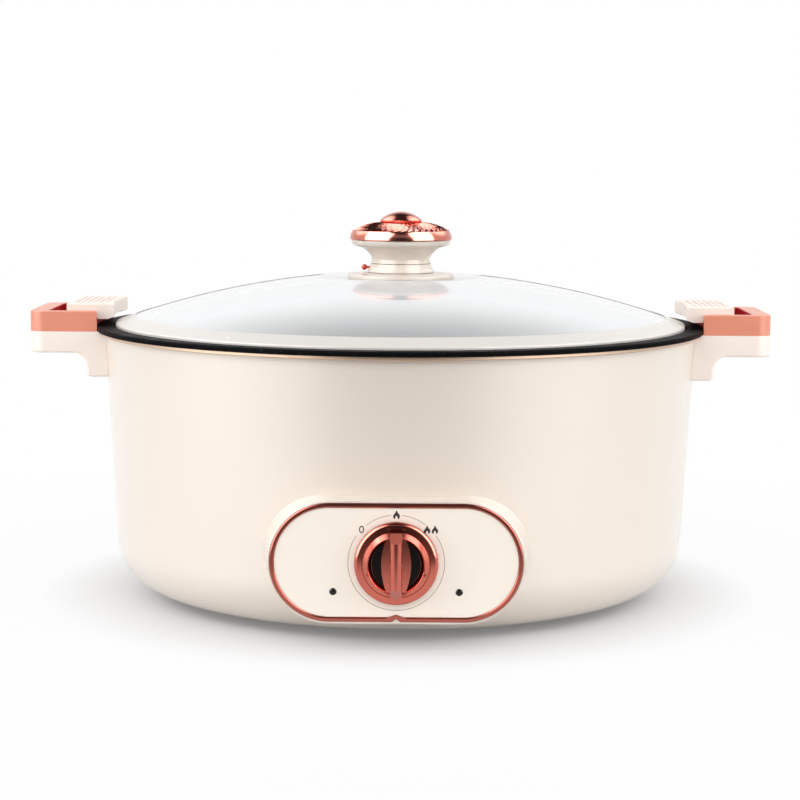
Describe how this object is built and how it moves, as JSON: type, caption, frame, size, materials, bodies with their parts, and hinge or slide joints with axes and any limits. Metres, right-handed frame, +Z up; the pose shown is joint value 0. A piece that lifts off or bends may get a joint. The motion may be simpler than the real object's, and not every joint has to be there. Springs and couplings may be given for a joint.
{
  "type": "electric hot pot",
  "caption": "Round electric hot pot with a loose domed glass lid, side handles with sliding lid latches, a rotary heat dial with lamps in front and a mains inlet behind.",
  "frame": {"origin": "middle of the footprint box on the table, under the feet; the pot's own axis stands 6.75 mm behind it", "axes": "+Z up, -Y towards the user (the dial's side), +X to the user's right"},
  "size_m": [0.405, 0.3684, 0.2106],
  "materials": {
    "shell_cream": "pearl satin lacquer on moulded plastic",
    "champagne": "satin",
    "nonstick": "black non-stick coating",
    "lid_glass": "polished",
    "cream_plastic": "gloss",
    "grip_cream": "satin",
    "coral_plastic": "satin",
    "track_red": "satin",
    "rose_gold": "rose-gold plated",
    "dark_insert": "gloss",
    "lens_dark": "gloss",
    "lamp_glass": "clear",
    "red_plastic": "gloss",
    "steel": "zinc plated",
    "shield_steel": "aluminised",
    "heater_aluminium": "as cast",
    "heater_sheath": "oxidised",
    "ceramic": "moulded phenolic or steatite",
    "brass": "bright",
    "black_plastic": "satin",
    "base_plastic": "satin",
    "rubber": "matt",
    "silicone": "matt"
  },
  "bodies": {
    "pot": {"bottom_cover": "base_plastic", "champagne_band": "champagne", "cover_screws": "steel", "frame_screws_left": "steel", "frame_screws_right": "steel", "fuse_clip": "steel", "handle_body_left": "grip_cream", "handle_body_right": "grip_cream", "handle_frame_left": "coral_plastic", "handle_frame_right": "coral_plastic", "handle_screws_left": "steel", "handle_screws_right": "steel", "heat_shield": "shield_steel", "heating_lamp": "lamp_glass", "heating_lens": "lens_dark", "heating_plate": "heater_aluminium", "heating_tube": "heater_sheath", "inlet_housing": "cream_plastic", "inlet_pins": "brass", "inlet_screws": "steel", "inlet_socket": "black_plastic", "inner_pan": "nonstick", "latch_track_left": "track_red", "latch_track_right": "track_red", "outer_shell": "shell_cream", "pan_studs": "steel", "panel_face": "cream_plastic", "panel_housing": "cream_plastic", "panel_screws": "steel", "panel_trim": "rose_gold", "power_lamp": "lamp_glass", "power_lens": "lens_dark", "rubber_feet": "rubber", "shield_screws": "steel", "stud_nuts": "steel", "thermal_fuse": "ceramic", "thermostat_body": "ceramic", "thermostat_nut": "steel", "thermostat_plate": "steel", "thermostat_tabs": "brass"},
    "lid": {"lid_glass": "lid_glass", "lid_rim": "cream_plastic", "knob_base": "cream_plastic", "knob_stem": "cream_plastic", "knob_crown": "rose_gold", "knob_button": "rose_gold", "silicone_washer": "silicone", "steel_washer": "steel", "lid_screw": "steel"},
    "vent": {"vent_collar": "cream_plastic", "vent_lever": "red_plastic"},
    "dial": {"dial_knob": "rose_gold", "dial_inserts": "dark_insert", "thermostat_shaft": "steel"},
    "latch_left": {"latch_left": "grip_cream"},
    "latch_right": {"latch_right": "grip_cream"}
  },
  "joints": [
    {"name": "lid_lift", "type": "slide", "parent": "pot", "child": "lid", "axis": [0, 0, 1], "range_m": [0, 0.2]},
    {"name": "vent_turn", "type": "hinge", "parent": "lid", "child": "vent", "pos_m": [0, 0.00675, 0.1796], "axis": [0, 0, 1], "range_deg": [0, 60]},
    {"name": "dial_turn", "type": "hinge", "parent": "pot", "child": "dial", "pos_m": [0, -0.16625, 0.046], "axis": [0, 1, 0], "range_deg": [-45, 45]},
    {"name": "latch_left_slide", "type": "slide", "parent": "pot", "child": "latch_left", "axis": [1, 0, 0], "range_m": [0, 0.008]},
    {"name": "latch_right_slide", "type": "slide", "parent": "pot", "child": "latch_right", "axis": [-1, 0, 0], "range_m": [0, 0.008]}
  ]
}
